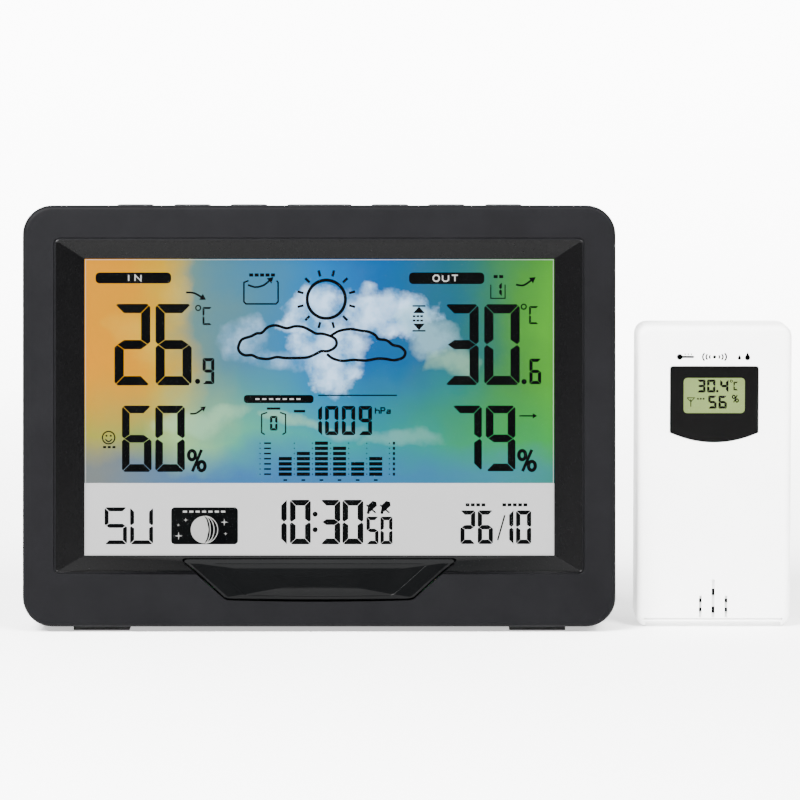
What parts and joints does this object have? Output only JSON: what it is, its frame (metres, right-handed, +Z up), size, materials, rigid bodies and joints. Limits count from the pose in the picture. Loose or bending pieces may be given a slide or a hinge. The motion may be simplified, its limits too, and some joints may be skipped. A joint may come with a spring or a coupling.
{
  "type": "home weather station",
  "caption": "Desk weather station: leaning landscape console with colour display, snooze bar, edge keys and fold-out foot, with its separate wireless outdoor sensor.",
  "frame": {"origin": "middle of the overall footprint, on the table top", "axes": "+X to the right along the long edge of the console, +Y from the display towards the back, +Z up"},
  "size_m": [0.247, 0.0734, 0.1364],
  "materials": {
    "case_dark_grey": "fine matt texture, dark grey moulded plastic",
    "key_dark_grey": "matt dark grey key caps",
    "gloss_black": "polished black",
    "clear_window": "clear acrylic window",
    "display_panel": "liquid crystal display glass, opaque",
    "light_guide": "milky white diffuser",
    "elastomer": "pink layered contact strip",
    "circuit_board": "green solder mask",
    "black_epoxy": "black resin",
    "copper_wire": "bare copper wire",
    "nickel_plate": "nickel plated spring steel",
    "steel": "zinc plated steel",
    "battery_sleeve": "printed sleeve over a steel can, plain colours",
    "rubber": "matt black",
    "sensor_white": "satin white moulded plastic"
  },
  "bodies": {
    "console": {"front_bezel": "case_dark_grey", "rear_cover": "case_dark_grey", "display_window": "clear_window", "lcd_panel": "display_panel", "backlight_guide": "light_guide", "zebra_strip": "elastomer", "main_board": "circuit_board", "button_board": "circuit_board", "snooze_board": "circuit_board", "processor": "black_epoxy", "piezo_buzzer": "black_epoxy", "dc_jack": "black_epoxy", "indoor_sensor": "sensor_white", "antenna_coil": "copper_wire", "battery_1": "battery_sleeve", "battery_2": "battery_sleeve", "battery_3": "battery_sleeve", "contact_left": "nickel_plate", "contact_right": "nickel_plate", "stand_pin": "steel", "foot_left": "rubber", "foot_right": "rubber", "case_screw_1": "steel", "case_screw_2": "steel", "case_screw_3": "steel", "case_screw_4": "steel"},
    "console_battery_door": {"battery_door": "case_dark_grey"},
    "console_leg": {"stand_leg": "case_dark_grey", "stand_pad": "rubber"},
    "snooze_bar": {"snooze_bar": "gloss_black"},
    "key_l3": {"key_l3": "key_dark_grey"},
    "key_l2": {"key_l2": "key_dark_grey"},
    "key_l1": {"key_l1": "key_dark_grey"},
    "key_snooze_mode": {"key_snooze_mode": "key_dark_grey"},
    "key_r1": {"key_r1": "key_dark_grey"},
    "key_r2": {"key_r2": "key_dark_grey"},
    "key_r3": {"key_r3": "key_dark_grey"},
    "outdoor_sensor": {"sensor_front_cover": "sensor_white", "sensor_rear_cover": "sensor_white", "sensor_window": "gloss_black", "sensor_lcd": "display_panel", "sensor_board": "circuit_board", "sensor_probe": "black_epoxy", "sensor_antenna": "copper_wire", "sensor_battery_1": "battery_sleeve", "sensor_battery_2": "battery_sleeve", "sensor_contact_bottom": "nickel_plate", "sensor_contact_top": "nickel_plate", "sensor_screw_1": "steel", "sensor_screw_2": "steel"},
    "sensor_door": {"sensor_battery_door": "sensor_white"},
    "sensor_switch": {"sensor_channel_switch": "gloss_black"},
    "sensor_reset": {"sensor_reset_button": "gloss_black"}
  },
  "joints": [
    {"name": "stand_hinge", "type": "hinge", "parent": "console", "child": "console_leg", "pos_m": [-0.0285, -0.0096, 0.01006], "axis": [1, 0, 0], "range_deg": [0, 94]},
    {"name": "battery_door_slide", "type": "slide", "parent": "console", "child": "console_battery_door", "axis": [0, 0.9962, -0.0872], "range_m": [0, 0.03]},
    {"name": "snooze_press", "type": "slide", "parent": "console", "child": "snooze_bar", "axis": [0, 0.9962, -0.0872], "range_m": [0, 0.0009], "stiffness_N_per_m": 600, "springref_m": -0.0005},
    {"name": "key_l3_press", "type": "slide", "parent": "console", "child": "key_l3", "axis": [0, -0.0872, -0.9962], "range_m": [0, 0.0008], "stiffness_N_per_m": 400, "springref_m": -0.0005},
    {"name": "key_l2_press", "type": "slide", "parent": "console", "child": "key_l2", "axis": [0, -0.0872, -0.9962], "range_m": [0, 0.0008], "stiffness_N_per_m": 400, "springref_m": -0.0005},
    {"name": "key_l1_press", "type": "slide", "parent": "console", "child": "key_l1", "axis": [0, -0.0872, -0.9962], "range_m": [0, 0.0008], "stiffness_N_per_m": 400, "springref_m": -0.0005},
    {"name": "key_snooze_mode_press", "type": "slide", "parent": "console", "child": "key_snooze_mode", "axis": [0, -0.0872, -0.9962], "range_m": [0, 0.0008], "stiffness_N_per_m": 400, "springref_m": -0.0005},
    {"name": "key_r1_press", "type": "slide", "parent": "console", "child": "key_r1", "axis": [0, -0.0872, -0.9962], "range_m": [0, 0.0008], "stiffness_N_per_m": 400, "springref_m": -0.0005},
    {"name": "key_r2_press", "type": "slide", "parent": "console", "child": "key_r2", "axis": [0, -0.0872, -0.9962], "range_m": [0, 0.0008], "stiffness_N_per_m": 400, "springref_m": -0.0005},
    {"name": "key_r3_press", "type": "slide", "parent": "console", "child": "key_r3", "axis": [0, -0.0872, -0.9962], "range_m": [0, 0.0008], "stiffness_N_per_m": 400, "springref_m": -0.0005},
    {"name": "sensor_place", "type": "slide", "parent": "console", "child": "outdoor_sensor", "axis": [1, 0, 0], "range_m": [0, 0.08]},
    {"name": "sensor_door_slide", "type": "slide", "parent": "outdoor_sensor", "child": "sensor_door", "axis": [0, 1, 0], "range_m": [0, 0.03]},
    {"name": "channel_slide", "type": "slide", "parent": "outdoor_sensor", "child": "sensor_switch", "axis": [1, 0, 0], "range_m": [-0.002, 0.002]},
    {"name": "reset_press", "type": "slide", "parent": "outdoor_sensor", "child": "sensor_reset", "axis": [0, -1, 0], "range_m": [0, 0.0008], "stiffness_N_per_m": 300, "springref_m": -0.0005}
  ]
}
